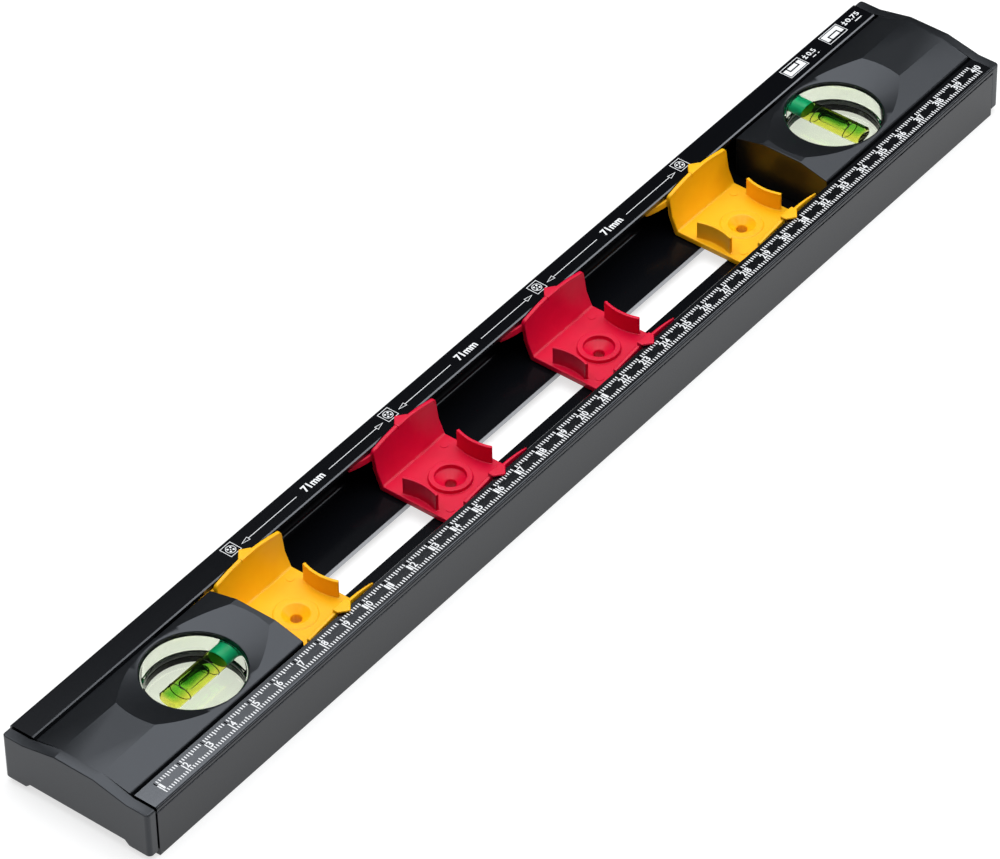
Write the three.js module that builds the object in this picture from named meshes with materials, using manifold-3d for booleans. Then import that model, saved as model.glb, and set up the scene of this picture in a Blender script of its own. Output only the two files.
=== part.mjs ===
// Spirit level with four sliding markers, for setting out a row of wall boxes.
// Millimetres. +X runs along the level, +Y to its rear rail, +Z up, z = 0 under the feet.
import * as THREE from "three";
import { mergeVertices } from "three/addons/utils/BufferGeometryUtils.js";
import Module from "manifold-3d";

// Channel extrusion
const PROFILE_LENGTH = 400;
const PROFILE_WIDTH = 53.6;
const RAIL_HEIGHT = 18.7;
const RAIL_WALL = 2;
const FLANGE_WIDTH = 8.5;
const FLANGE_THICKNESS = 1.8;
const WEB_THICKNESS = 2;
const FOOT_WIDTH = 8;
const FOOT_HEIGHT = 2;
const OUTER_EDGE_RADIUS = 0.7;
const FOOT_EDGE_RADIUS = 0.3;
const FLANGE_BEVEL = 0.45;
const COVE_RADIUS = 2;
const GROOVE_DEPTH = 0.25;
const GROOVE_WIDTH = 0.4;
const GROOVE_DROP = 2.2;
const SLOT_WIDTH = 9.8;
const SLOT_END_COVER = 9.3;

// End blocks: cap, roof with its dish, and the tongues that hold them in the channel
const CAP_THICKNESS = 3.6;
const CAP_INSET = 0.25;
const CAP_LIFT = 2;
const CAP_CORNER_RADIUS = 1.4;
const CAP_NOTCH_HEIGHT = 1.5;
const CAP_FALL = 0.7;
const ROOF_RISE = 2.3;
const ROOF_WIDTH = 14.3;
const SHELF_DROP = 0.6;
const SHELF_WIDTH = 7.9;
const BLOCK_LENGTH = 78.6;
const TONGUE_PAST_WINDOW = 4.9;
const BLOCK_FLANGE_GAP = 1;
const WINDOW_BACKSET = 27.5;
const WINDOW_SIDE_WALL = 1.8;
const DISH_DEPTH = 2.5;
const DISH_WIDTH = 10.2;
const VIAL_LEDGE_WIDTH = 0.8;
const VIAL_LEDGE_HEIGHT = 1.2;
const BLOCK_EDGE = 0.4;

// Vials
const VIAL_RECESS = 1.1;
const VIAL_COVER = 0.7;
const VIAL_FLOOR = 3.1;
const VIAL_END_WALL = 3.8;
const LIQUID_GAP = 0.7;
const PLUG_LENGTH = 5;
const BUBBLE_LENGTH = 10.8;
const BUBBLE_RADIUS_SHARE = 0.7;
const INDEX_INSET = 3.75;
const INDEX_WIDTH = 0.45;
const INDEX_THICKNESS = 0.2;

// Markers
const MARKER_PLACE_SHARES = [-0.98, -0.34, 0.303, 0.95];
const MARKER_WIDTH = 29;
const MARKER_BASE = 1.9;
const MARKER_WALL = 1.15;
const MARKER_TOP_GAP = 0.4;
const MARKER_CORNER_RADIUS = 1.6;
const CREASE_DEPTH = 4.4;
const SLOPE_HEIGHT = 4.8;
const SLOPE_RUN = 2.1;
const WALL_DRAFT = 0.6;
const FIN_LENGTH = 12.4;
const FIN_HEIGHT = 6.2;
const FIN_THICKNESS = 1.1;
const FIN_INSET = 1.1;
const FIN_SAGITTA = 1.2;
const FIN_SHIFT = 1;
const COLLAR_RADIUS = 6.6;
const COLLAR_HEIGHT = 1.3;
const COLLAR_BORE_RADIUS = 4.75;
const FUNNEL_STEP = 0.3;
const FUNNEL_RADIUS = 4.3;
const MARKING_HOLE_RADIUS = 1.7;
const BOSS_DEPTH = 2.2;
const BOSS_CLEARANCE = 0.75;
const POINTER_WIDTH = 5.8;
const POINTER_REACH = 2.3;
const POINTER_THICKNESS = 0.8;
const FRONT_WALL = 1.2;
const FRONT_WALL_GAP = 0.8;
const FRONT_WALL_RISE = 1.4;
const ARM_INSET = 1;
const ARM_THICKNESS = 1;
const ARM_HEIGHT = 3;
const ARM_BOW = 0.5;
const REAR_ARM_LENGTH = 8;
const REAR_ARM_HEIGHT = 2.4;
const REAR_ARM_SWAY = 1.6;

// Clearances and facet counts
const SEAT_GAP = 0.3;
const CUT_OVERRUN = 1;
const SMALL_ARC_STEPS = 3;
const MEDIUM_ARC_STEPS = 12;
const ROUND_STEPS = 32;
const WINDOW_STEPS = 56;

// Levels and places worked out from the sizes above
const HALF_WIDTH = PROFILE_WIDTH / 2;
const WEB_TOP = FOOT_HEIGHT + WEB_THICKNESS;
const FLANGE_UNDERSIDE = RAIL_HEIGHT - FLANGE_THICKNESS;
const FLANGE_EDGE = HALF_WIDTH - FLANGE_WIDTH;
const HALF_LENGTH = PROFILE_LENGTH / 2 + SEAT_GAP + CAP_THICKNESS;
const BAY_END = HALF_LENGTH - BLOCK_LENGTH;
const SLOT_LENGTH = 2 * (BAY_END - SLOT_END_COVER);
const ROOF_HEIGHT = RAIL_HEIGHT + ROOF_RISE;
const SHELF_HEIGHT = RAIL_HEIGHT - SHELF_DROP;
const BLOCK_SIDE = FLANGE_EDGE - BLOCK_FLANGE_GAP;
const WINDOW_INSET = BLOCK_LENGTH - WINDOW_BACKSET;
const WINDOW_RADIUS = BLOCK_SIDE - WINDOW_SIDE_WALL;
const WINDOW_RIM_HEIGHT = ROOF_HEIGHT - DISH_DEPTH;
const DISH_RADIUS = WINDOW_RADIUS + DISH_WIDTH;
const WINDOW_X = HALF_LENGTH - WINDOW_INSET;
const TONGUE_LENGTH = WINDOW_INSET + TONGUE_PAST_WINDOW;
const VIAL_RADIUS = WINDOW_RADIUS - SEAT_GAP;
const VIAL_TOP = WINDOW_RIM_HEIGHT - VIAL_RECESS;
const VIAL_BOTTOM = WEB_TOP + SEAT_GAP + VIAL_LEDGE_HEIGHT + SEAT_GAP;
const VIAL_BORE_RADIUS = (VIAL_TOP - VIAL_BOTTOM - VIAL_COVER - VIAL_FLOOR) / 2;
const VIAL_BORE_REACH = VIAL_RADIUS - VIAL_END_WALL;
const VIAL_AXIS = VIAL_TOP - VIAL_COVER - VIAL_BORE_RADIUS;
const LIQUID_RADIUS = VIAL_BORE_RADIUS - LIQUID_GAP;
const BUBBLE_RADIUS = LIQUID_RADIUS * BUBBLE_RADIUS_SHARE;
const CHANNEL_RADIUS = BUBBLE_RADIUS + SEAT_GAP;
const BUBBLE_LIFT = LIQUID_RADIUS - BUBBLE_RADIUS;
const PLUG_START = VIAL_RADIUS - PLUG_LENGTH - SEAT_GAP;
const INDEX_SPACING = 2 * (PLUG_START - INDEX_INSET);
const LIQUID_LENGTH = PLUG_START + VIAL_BORE_REACH - 2 * SEAT_GAP;
const LIQUID_MIDDLE = (PLUG_START - VIAL_BORE_REACH) / 2;
const MARKER_PLACES = MARKER_PLACE_SHARES.map((share) => share * (BAY_END - MARKER_WIDTH / 2));
const FIN_SPREAD = MARKER_WIDTH - 2 * FIN_INSET;

const wasm = await Module();
wasm.setup();

// Solid for joining and cutting, from any closed geometry.
function solidOf(geometry) {
  const bare = geometry.index ? geometry.toNonIndexed() : geometry.clone();
  bare.deleteAttribute("normal");
  bare.deleteAttribute("uv");
  const merged = mergeVertices(bare);
  return new wasm.Manifold(
    new wasm.Mesh({
      numProp: 3,
      vertProperties: merged.attributes.position.array,
      triVerts: new Uint32Array(merged.index.array),
    }),
  );
}

// Geometry with flat faces, from a finished solid.
function geometryOf(solid) {
  const mesh = solid.getMesh();
  const geometry = new THREE.BufferGeometry();
  geometry.setAttribute("position", new THREE.BufferAttribute(mesh.vertProperties, 3));
  geometry.setIndex(new THREE.BufferAttribute(mesh.triVerts, 1));
  const flat = geometry.toNonIndexed();
  flat.computeVertexNormals();
  return flat;
}

// Straight extrusion of a shape drawn in (x, y), from z = low to z = high.
function upright(shape, low, high, steps = MEDIUM_ARC_STEPS) {
  const options = { depth: high - low, bevelEnabled: false, curveSegments: steps };
  return new THREE.ExtrudeGeometry(shape, options).translate(0, 0, low);
}

// Extrusion along X of a section drawn as (y, z), from x = start to x = end.
function lengthwise(shape, start, end, steps = SMALL_ARC_STEPS) {
  const axes = new THREE.Matrix4().makeBasis(
    new THREE.Vector3(0, 1, 0),
    new THREE.Vector3(0, 0, 1),
    new THREE.Vector3(1, 0, 0),
  );
  return upright(shape, start, end, steps).applyMatrix4(axes);
}

// Extrusion along Y of an elevation drawn as (x, z), from y = start to y = end.
function crosswise(shape, start, end, steps = SMALL_ARC_STEPS) {
  return upright(shape, start, end, steps)
    .rotateX(Math.PI / 2)
    .translate(0, start + end, 0);
}

// Upright cylinder or cone about the Z axis.
function roundPost(radius, low, high, topRadius = radius, steps = ROUND_STEPS) {
  return new THREE.CylinderGeometry(topRadius, radius, high - low, steps)
    .rotateX(Math.PI / 2)
    .translate(0, 0, (low + high) / 2);
}

// Cylinder lying along X.
function roundBar(radius, start, end, steps = ROUND_STEPS) {
  return new THREE.CylinderGeometry(radius, radius, end - start, steps)
    .rotateZ(-Math.PI / 2)
    .translate((start + end) / 2, 0, 0);
}

function polygon(points) {
  return new THREE.Shape(points.map(([x, y]) => new THREE.Vector2(x, y)));
}

// A closed outline from the half that lies at negative x, which starts and ends on the middle line.
function mirrored(half) {
  const other = half.map((p) => new THREE.Vector2(-p.x, p.y)).reverse();
  return new THREE.Shape([...half, ...other.slice(1, -1)]);
}

function material(color, roughness, metalness = 0, opacity = 1) {
  return new THREE.MeshStandardMaterial({
    color,
    roughness,
    metalness,
    opacity,
    transparent: opacity < 1,
  });
}

const ANODISED_BLACK = material(0x17171a, 0.35, 0.6);
const DARK_GREY_PLASTIC = material(0x3c3d40, 0.6);
const YELLOW_PLASTIC = material(0xfdb71e, 0.45);
const RED_PLASTIC = material(0xd8002c, 0.4);
const CLEAR_ACRYLIC = material(0xf2fbf4, 0.05, 0, 0.3);
const VIAL_LIQUID = material(0xc8e632, 0.1, 0, 0.6);
const VIAL_AIR = material(0xf8fff0, 0.05, 0, 0.4);
const GREEN_PLASTIC = material(0x00a266, 0.35);
const BLACK_PRINT = material(0x0c0c0c, 0.6);

const level = new THREE.Group();

// Adds one named piece, and returns its mesh so that it can be placed.
function piece(name, solid, finish, parent = level) {
  const mesh = new THREE.Mesh(geometryOf(solid), finish);
  mesh.name = name;
  parent.add(mesh);
  return mesh;
}

// Half of the channel's section: foot, rail with its sight groove, flange, coved inner corner, web.
function channelHalf() {
  const outer = -HALF_WIDTH;
  const path = new THREE.Path();
  path.moveTo(0, FOOT_HEIGHT);
  path.lineTo(outer + FOOT_WIDTH, FOOT_HEIGHT);
  path.lineTo(outer + FOOT_WIDTH, 0);
  path.absarc(
    outer + FOOT_EDGE_RADIUS,
    FOOT_EDGE_RADIUS,
    FOOT_EDGE_RADIUS,
    -Math.PI / 2,
    -Math.PI,
    true,
  );
  const groove = RAIL_HEIGHT - GROOVE_DROP;
  path.lineTo(outer, groove - GROOVE_WIDTH / 2);
  path.lineTo(outer + GROOVE_DEPTH, groove);
  path.lineTo(outer, groove + GROOVE_WIDTH / 2);
  path.absarc(
    outer + OUTER_EDGE_RADIUS,
    RAIL_HEIGHT - OUTER_EDGE_RADIUS,
    OUTER_EDGE_RADIUS,
    Math.PI,
    Math.PI / 2,
    true,
  );
  path.lineTo(-FLANGE_EDGE - FLANGE_BEVEL, RAIL_HEIGHT);
  path.lineTo(-FLANGE_EDGE, RAIL_HEIGHT - FLANGE_BEVEL);
  path.lineTo(-FLANGE_EDGE, FLANGE_UNDERSIDE);
  path.lineTo(outer + RAIL_WALL, FLANGE_UNDERSIDE);
  path.absarc(
    outer + RAIL_WALL + COVE_RADIUS,
    WEB_TOP + COVE_RADIUS,
    COVE_RADIUS,
    Math.PI,
    Math.PI * 1.5,
    false,
  );
  path.lineTo(0, WEB_TOP);
  return path.getPoints(SMALL_ARC_STEPS);
}

// Milled slot with round ends, drawn in plan.
function slotShape() {
  const run = SLOT_LENGTH / 2 - SLOT_WIDTH / 2;
  const shape = new THREE.Shape();
  shape.absarc(run, 0, SLOT_WIDTH / 2, -Math.PI / 2, Math.PI / 2, false);
  shape.absarc(-run, 0, SLOT_WIDTH / 2, Math.PI / 2, Math.PI * 1.5, false);
  return shape;
}

function channel() {
  const bar = lengthwise(mirrored(channelHalf()), -PROFILE_LENGTH / 2, PROFILE_LENGTH / 2);
  const slot = upright(slotShape(), -CUT_OVERRUN, WEB_TOP + CUT_OVERRUN);
  const lightHole = WINDOW_RADIUS - VIAL_LEDGE_WIDTH;
  let solid = solidOf(bar).subtract(solidOf(slot));
  for (const x of [-WINDOW_X, WINDOW_X]) {
    const cut = roundPost(lightHole, -CUT_OVERRUN, WEB_TOP + CUT_OVERRUN, lightHole, WINDOW_STEPS);
    solid = solid.subtract(solidOf(cut.translate(x, 0, 0)));
  }
  return solid;
}

piece("profile", channel(), ANODISED_BLACK);

// Roof line of an end block over half its width, from its side to the middle: shelf, ramp, flat top.
function roofHalf(side, bottom) {
  const shelfEdge = HALF_WIDTH - SHELF_WIDTH;
  const run = (shelfEdge - side) / (shelfEdge - ROOF_WIDTH / 2);
  const rampStart = side < shelfEdge ? SHELF_HEIGHT + run * (ROOF_HEIGHT - SHELF_HEIGHT) : SHELF_HEIGHT;
  const points = [new THREE.Vector2(-side, bottom)];
  points.push(new THREE.Vector2(-side, rampStart - BLOCK_EDGE));
  points.push(new THREE.Vector2(-side + BLOCK_EDGE, rampStart));
  if (side > shelfEdge) points.push(new THREE.Vector2(-shelfEdge, SHELF_HEIGHT));
  points.push(new THREE.Vector2(-ROOF_WIDTH / 2, ROOF_HEIGHT));
  points.push(new THREE.Vector2(0, ROOF_HEIGHT));
  return points;
}

// Lets the roof of a cap fall towards its outer face, at x = 0, where it is lowest.
function falling(geometry) {
  const place = geometry.attributes.position;
  for (let i = 0; i < place.count; i++) {
    const outward = 1 - place.getX(i) / CAP_THICKNESS;
    const upward = Math.max(0, (place.getZ(i) - SHELF_HEIGHT) / (ROOF_HEIGHT - SHELF_HEIGHT));
    place.setZ(i, place.getZ(i) - CAP_FALL * outward * upward);
  }
  return geometry;
}

// Cap over the end of the channel, with the channel's feet and recess repeated a step higher.
function cap() {
  const side = HALF_WIDTH - CAP_INSET;
  const half = [
    new THREE.Vector2(0, CAP_LIFT + CAP_NOTCH_HEIGHT),
    new THREE.Vector2(-HALF_WIDTH + FOOT_WIDTH + CAP_NOTCH_HEIGHT, CAP_LIFT + CAP_NOTCH_HEIGHT),
    new THREE.Vector2(-HALF_WIDTH + FOOT_WIDTH, CAP_LIFT),
    ...roofHalf(side, CAP_LIFT),
  ];
  const plan = new THREE.Shape();
  plan.moveTo(CAP_THICKNESS, -side);
  plan.lineTo(CAP_THICKNESS, side);
  plan.absarc(CAP_CORNER_RADIUS, side - CAP_CORNER_RADIUS, CAP_CORNER_RADIUS, Math.PI / 2, Math.PI, false);
  plan.absarc(CAP_CORNER_RADIUS, CAP_CORNER_RADIUS - side, CAP_CORNER_RADIUS, Math.PI, Math.PI * 1.5, false);
  const section = falling(lengthwise(mirrored(half), 0, CAP_THICKNESS));
  return solidOf(section).intersect(
    solidOf(upright(plan, 0, ROOF_HEIGHT + CUT_OVERRUN, SMALL_ARC_STEPS * 2)),
  );
}

// Body between the flanges, from inside the cap to the face that looks at the markers.
function body() {
  const low = WEB_TOP + SEAT_GAP;
  const half = [new THREE.Vector2(0, low), ...roofHalf(BLOCK_SIDE, low)];
  return solidOf(lengthwise(mirrored(half), CAP_THICKNESS - BLOCK_EDGE, BLOCK_LENGTH));
}

// Tongues under both flanges, coved like the channel's inner corners.
function tongues() {
  const side = HALF_WIDTH - RAIL_WALL - SEAT_GAP;
  const low = WEB_TOP + SEAT_GAP;
  const high = FLANGE_UNDERSIDE - SEAT_GAP;
  const half = [
    new THREE.Vector2(0, low),
    new THREE.Vector2(-side + COVE_RADIUS, low),
    new THREE.Vector2(-side, low + COVE_RADIUS),
    new THREE.Vector2(-side, high),
    new THREE.Vector2(0, high),
  ];
  return solidOf(lengthwise(mirrored(half), CAP_THICKNESS - BLOCK_EDGE, TONGUE_LENGTH));
}

// End block with x = 0 on its outer face: the window is a bore with a ledge, under a conical dish.
function endBlock() {
  const low = WEB_TOP + SEAT_GAP;
  const ledge = low + VIAL_LEDGE_HEIGHT;
  const lightHole = WINDOW_RADIUS - VIAL_LEDGE_WIDTH;
  const slope = (DISH_RADIUS - WINDOW_RADIUS) / DISH_DEPTH;
  const top = ROOF_HEIGHT + CUT_OVERRUN;
  const dish = roundPost(
    WINDOW_RADIUS,
    WINDOW_RIM_HEIGHT,
    top,
    WINDOW_RADIUS + slope * (top - WINDOW_RIM_HEIGHT),
    WINDOW_STEPS,
  );
  const cuts = [
    dish,
    roundPost(WINDOW_RADIUS, ledge, WINDOW_RIM_HEIGHT + CUT_OVERRUN / 2, WINDOW_RADIUS, WINDOW_STEPS),
    roundPost(lightHole, low - CUT_OVERRUN, ledge + CUT_OVERRUN, lightHole, WINDOW_STEPS),
  ];
  let solid = cap().add(body()).add(tongues());
  for (const cut of cuts) solid = solid.subtract(solidOf(cut.translate(WINDOW_INSET, 0, 0)));
  return solid;
}

const block = endBlock();
const leftBlock = piece("end_block_left", block, DARK_GREY_PLASTIC);
leftBlock.position.x = -HALF_LENGTH;
const rightBlock = piece("end_block_right", block, DARK_GREY_PLASTIC);
rightBlock.position.x = HALF_LENGTH;
rightBlock.rotation.z = Math.PI;

// Acrylic puck, bored from its rim for the tube of liquid, which a plug closes. The tube lies along X.
function puck() {
  const disc = roundPost(VIAL_RADIUS, VIAL_BOTTOM, VIAL_TOP, VIAL_RADIUS, WINDOW_STEPS);
  const bore = roundBar(VIAL_BORE_RADIUS, -VIAL_BORE_REACH, VIAL_RADIUS + CUT_OVERRUN);
  return solidOf(disc).subtract(solidOf(bore.translate(0, 0, VIAL_AXIS)));
}

// Liquid with the open channel along its top in which the bubble travels.
function liquid() {
  const half = LIQUID_LENGTH / 2;
  const room = half - SEAT_GAP;
  const channelBar = roundBar(CHANNEL_RADIUS, -room, room).translate(0, 0, BUBBLE_LIFT);
  return solidOf(roundBar(LIQUID_RADIUS, -half, half)).subtract(solidOf(channelBar));
}

// Bubble: a round-ended capsule, turned about its length.
function bubble() {
  const path = new THREE.Path();
  const run = BUBBLE_LENGTH / 2 - BUBBLE_RADIUS;
  path.absarc(0, -run, BUBBLE_RADIUS, -Math.PI / 2, 0, false);
  path.absarc(0, run, BUBBLE_RADIUS, 0, Math.PI / 2, false);
  const profile = path.getPoints(SMALL_ARC_STEPS * 2);
  profile[0].x = 0;
  profile[profile.length - 1].x = 0;
  return solidOf(new THREE.LatheGeometry(profile, ROUND_STEPS / 2).rotateZ(-Math.PI / 2));
}

// One black index ring round the liquid.
function indexRing() {
  const inner = LIQUID_RADIUS + (VIAL_BORE_RADIUS - LIQUID_RADIUS - INDEX_THICKNESS) / 2;
  const outer = inner + INDEX_THICKNESS;
  const section = [
    new THREE.Vector2(inner, -INDEX_WIDTH / 2),
    new THREE.Vector2(outer, -INDEX_WIDTH / 2),
    new THREE.Vector2(outer, INDEX_WIDTH / 2),
    new THREE.Vector2(inner, INDEX_WIDTH / 2),
    new THREE.Vector2(inner, -INDEX_WIDTH / 2),
  ];
  return solidOf(new THREE.LatheGeometry(section, ROUND_STEPS).rotateZ(-Math.PI / 2));
}

function plug() {
  const bar = roundBar(VIAL_BORE_RADIUS - SEAT_GAP, PLUG_START, PLUG_START + PLUG_LENGTH);
  return solidOf(bar);
}

// The left vial reads along the level, and the right one across it.
for (const [side, x, turn] of [["left", -WINDOW_X, 0], ["right", WINDOW_X, Math.PI / 2]]) {
  const vial = new THREE.Group();
  vial.position.x = x;
  vial.rotation.z = turn;
  level.add(vial);
  piece("vial_body_" + side, puck(), CLEAR_ACRYLIC, vial);
  const tube = new THREE.Group();
  tube.position.z = VIAL_AXIS;
  vial.add(tube);
  piece("vial_liquid_" + side, liquid(), VIAL_LIQUID, tube).position.x = LIQUID_MIDDLE;
  piece("bubble_" + side, bubble(), VIAL_AIR, tube).position.z = BUBBLE_LIFT;
  piece("vial_plug_" + side, plug(), GREEN_PLASTIC, tube);
  for (const [index, offset] of [[1, -INDEX_SPACING / 2], [2, INDEX_SPACING / 2]]) {
    const ring = piece("index_ring_" + side + "_" + index, indexRing(), BLACK_PRINT, tube);
    ring.position.x = offset;
  }
}

// Places on a marker, in its own frame: x = y = 0 on its marking hole, z = 0 under its base.
const MARKER_FLOOR = WEB_TOP + SEAT_GAP;
const FLANGE_TOP = RAIL_HEIGHT - MARKER_FLOOR;
const WALL_TOP = FLANGE_TOP - MARKER_TOP_GAP;
const WALL_BACK = FLANGE_EDGE - MARKER_TOP_GAP;
const POINTER_LOW = FLANGE_TOP + SEAT_GAP;
const POINTER_HIGH = POINTER_LOW + POINTER_THICKNESS;
const FRONT_OUTSIDE = -FLANGE_EDGE + FRONT_WALL_GAP;
const FRONT_INSIDE = FRONT_OUTSIDE + FRONT_WALL;
const BASE_FRONT = -HALF_WIDTH + RAIL_WALL + COVE_RADIUS + SEAT_GAP;

// Base and back wall in one section: the wall leaves the base at a crease, slopes, then stands up.
function markerShell() {
  const creaseY = WALL_BACK - CREASE_DEPTH;
  const inner = [
    [creaseY, MARKER_BASE],
    [creaseY + SLOPE_RUN, MARKER_BASE + SLOPE_HEIGHT],
    [WALL_BACK - MARKER_WALL, WALL_TOP],
  ];
  const outer = [
    [WALL_BACK, WALL_TOP],
    [WALL_BACK - WALL_DRAFT, MARKER_BASE + SLOPE_HEIGHT],
    [creaseY + MARKER_WALL, 0],
  ];
  const section = polygon([[BASE_FRONT, 0], [BASE_FRONT, MARKER_BASE], ...inner, ...outer]);
  const half = MARKER_WIDTH / 2;
  const round = MARKER_CORNER_RADIUS;
  const elevation = new THREE.Shape();
  elevation.moveTo(-half, -CUT_OVERRUN);
  elevation.lineTo(half, -CUT_OVERRUN);
  elevation.absarc(half - round, WALL_TOP - round, round, 0, Math.PI / 2, false);
  elevation.absarc(round - half, WALL_TOP - round, round, Math.PI / 2, Math.PI, false);
  const shell = solidOf(lengthwise(section, -half, half));
  return shell.intersect(solidOf(crosswise(elevation, BASE_FRONT - CUT_OVERRUN, HALF_WIDTH)));
}

// One finger fin, hollowed on its outer side, at side -1 or 1.
function fin(side) {
  const reach = FIN_LENGTH / 2;
  const radius = (reach * reach + FIN_SAGITTA * FIN_SAGITTA) / (2 * FIN_SAGITTA);
  const spread = Math.asin(reach / radius);
  const centre = FIN_SPREAD / 2 - FIN_SAGITTA + radius;
  const shape = new THREE.Shape();
  shape.absarc(centre, FIN_SHIFT, radius, Math.PI - spread, Math.PI + spread, false);
  shape.absarc(centre, FIN_SHIFT, radius + FIN_THICKNESS, Math.PI + spread, Math.PI - spread, true);
  const geometry = upright(shape, MARKER_BASE / 2, MARKER_BASE + FIN_HEIGHT, SMALL_ARC_STEPS * 3);
  if (side < 0) geometry.rotateZ(Math.PI).translate(0, 2 * FIN_SHIFT, 0);
  return solidOf(geometry);
}

// Triangular pointer over a flange, with the block that carries it on its wall; side -1 is the front.
function pointer(side, root) {
  const half = POINTER_WIDTH / 2;
  const edge = FLANGE_EDGE;
  const shape = polygon([
    [-half, root],
    [half, root],
    [half, edge],
    [0, edge + POINTER_REACH],
    [-half, edge],
  ]);
  const block = polygon([
    [-half, root],
    [half, root],
    [half, edge - MARKER_TOP_GAP],
    [-half, edge - MARKER_TOP_GAP],
  ]);
  const turn = side < 0 ? Math.PI : 0;
  const tab = upright(shape, POINTER_LOW, POINTER_HIGH).rotateZ(turn);
  const carrier = upright(block, WALL_TOP - MARKER_BASE, POINTER_HIGH).rotateZ(turn);
  return solidOf(tab).add(solidOf(carrier));
}

// Front wall beside the ruler: its left half stands up from the base and rises to the pointer.
function frontWall() {
  const half = MARKER_WIDTH / 2;
  const elevation = polygon([
    [-half, MARKER_BASE / 2],
    [POINTER_WIDTH / 2, MARKER_BASE / 2],
    [POINTER_WIDTH / 2, FLANGE_TOP],
    [-POINTER_WIDTH / 2, FLANGE_TOP],
    [-half, FLANGE_TOP - FRONT_WALL_RISE],
  ]);
  return solidOf(crosswise(elevation, FRONT_OUTSIDE, FRONT_INSIDE));
}

// Bowed spring arm in plan, from (0, 0) along +x to its tip, which bears on the rail.
function springArm(length, sway, low, high) {
  const shape = new THREE.Shape();
  shape.moveTo(0, 0);
  shape.quadraticCurveTo(length / 2, ARM_BOW - sway / 2, length, -sway);
  shape.lineTo(length, ARM_THICKNESS / 2 - sway);
  shape.quadraticCurveTo(length / 2, ARM_BOW - sway / 2 + ARM_THICKNESS, 0, ARM_THICKNESS);
  return upright(shape, low, high, SMALL_ARC_STEPS * 2);
}

function marker(collared) {
  const boss = solidOf(roundPost(SLOT_WIDTH / 2 - BOSS_CLEARANCE, -BOSS_DEPTH, MARKER_BASE / 2));
  const rise = collared ? COLLAR_HEIGHT : FUNNEL_STEP;
  const collar = solidOf(roundPost(COLLAR_RADIUS, MARKER_BASE / 2, MARKER_BASE + rise));
  const armStart = POINTER_WIDTH / 2 - ARM_THICKNESS;
  const armLength = MARKER_WIDTH / 2 - ARM_INSET - armStart;
  const armSway = FRONT_WALL_GAP - SEAT_GAP;
  const frontArm = springArm(armLength, armSway, FLANGE_TOP - ARM_HEIGHT, FLANGE_TOP);
  frontArm.translate(armStart, FRONT_OUTSIDE, 0);
  const rearHigh = FLANGE_TOP - FLANGE_THICKNESS - SEAT_GAP;
  const rearArm = springArm(REAR_ARM_LENGTH + ARM_THICKNESS, REAR_ARM_SWAY, rearHigh - REAR_ARM_HEIGHT, rearHigh);
  rearArm.rotateZ(Math.PI).translate(ARM_THICKNESS - MARKER_WIDTH / 2, WALL_BACK + ARM_THICKNESS / 2, 0);
  let solid = markerShell();
  for (const part of [
    fin(-1),
    fin(1),
    collar,
    boss,
    frontWall(),
    pointer(-1, FLANGE_EDGE - FRONT_WALL_GAP - FRONT_WALL),
    pointer(1, WALL_BACK - MARKER_WALL),
    solidOf(frontArm),
    solidOf(rearArm),
  ]) {
    solid = solid.add(part);
  }
  const mouth = collared ? COLLAR_BORE_RADIUS : FUNNEL_RADIUS;
  const mouthTop = MARKER_BASE + rise;
  const coneTop = collared ? MARKER_BASE : mouthTop;
  const slope = (mouth - MARKING_HOLE_RADIUS) / coneTop;
  const funnelHigh = collared ? coneTop : mouthTop + CUT_OVERRUN;
  const funnelRadius = collared ? mouth : mouth + slope * CUT_OVERRUN;
  solid = solid.subtract(solidOf(roundPost(MARKING_HOLE_RADIUS, 0, funnelHigh, funnelRadius)));
  solid = solid.subtract(solidOf(roundPost(MARKING_HOLE_RADIUS, -BOSS_DEPTH - CUT_OVERRUN, MARKER_BASE)));
  if (collared) solid = solid.subtract(solidOf(roundPost(mouth, coneTop, mouthTop + CUT_OVERRUN)));
  return solid;
}

const MARKERS = [
  ["marker_yellow_left", false, YELLOW_PLASTIC],
  ["marker_red_left", true, RED_PLASTIC],
  ["marker_red_right", true, RED_PLASTIC],
  ["marker_yellow_right", false, YELLOW_PLASTIC],
];
MARKERS.forEach(([name, collared, finish], index) => {
  piece(name, marker(collared), finish).position.set(MARKER_PLACES[index], 0, MARKER_FLOOR);
});

export default level;
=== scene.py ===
import math
import bmesh
import bpy
from mathutils import Matrix, Vector


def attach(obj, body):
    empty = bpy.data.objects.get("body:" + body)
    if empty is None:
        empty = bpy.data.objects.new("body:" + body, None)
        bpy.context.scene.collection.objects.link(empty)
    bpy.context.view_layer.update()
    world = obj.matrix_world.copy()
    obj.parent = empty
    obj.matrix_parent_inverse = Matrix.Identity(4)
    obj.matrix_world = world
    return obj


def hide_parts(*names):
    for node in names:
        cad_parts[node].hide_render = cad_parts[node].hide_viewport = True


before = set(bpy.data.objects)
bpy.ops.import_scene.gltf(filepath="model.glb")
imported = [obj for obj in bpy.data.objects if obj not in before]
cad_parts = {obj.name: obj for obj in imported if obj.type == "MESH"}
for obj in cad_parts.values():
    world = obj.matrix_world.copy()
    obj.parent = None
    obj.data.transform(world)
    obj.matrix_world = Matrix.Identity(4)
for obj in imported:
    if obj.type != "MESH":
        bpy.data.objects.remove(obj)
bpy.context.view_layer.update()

# Channel. One aluminium extrusion, satin black anodised: two rails with inward flanges over a web, on
# two feet. The ruler's flange has the clearest sheen, partly its own gloss and partly painted sheen.
# The rear flange and the inside carry a dull copy of the anodising; its weak reflection is painted
# shade.
# The slot is milled after anodising, so its wall is bare.
MM = 0.001
LENGTH = 400
HALF_WIDTH = 26.8
HEIGHT = 18.7
FLANGE_EDGE = 18.3
FLANGE_UNDERSIDE = 16.9
FLANGE_CHAMFER = 0.36
RAIL_RADIUS = 0.9
RAIL_WALL = 2
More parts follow.
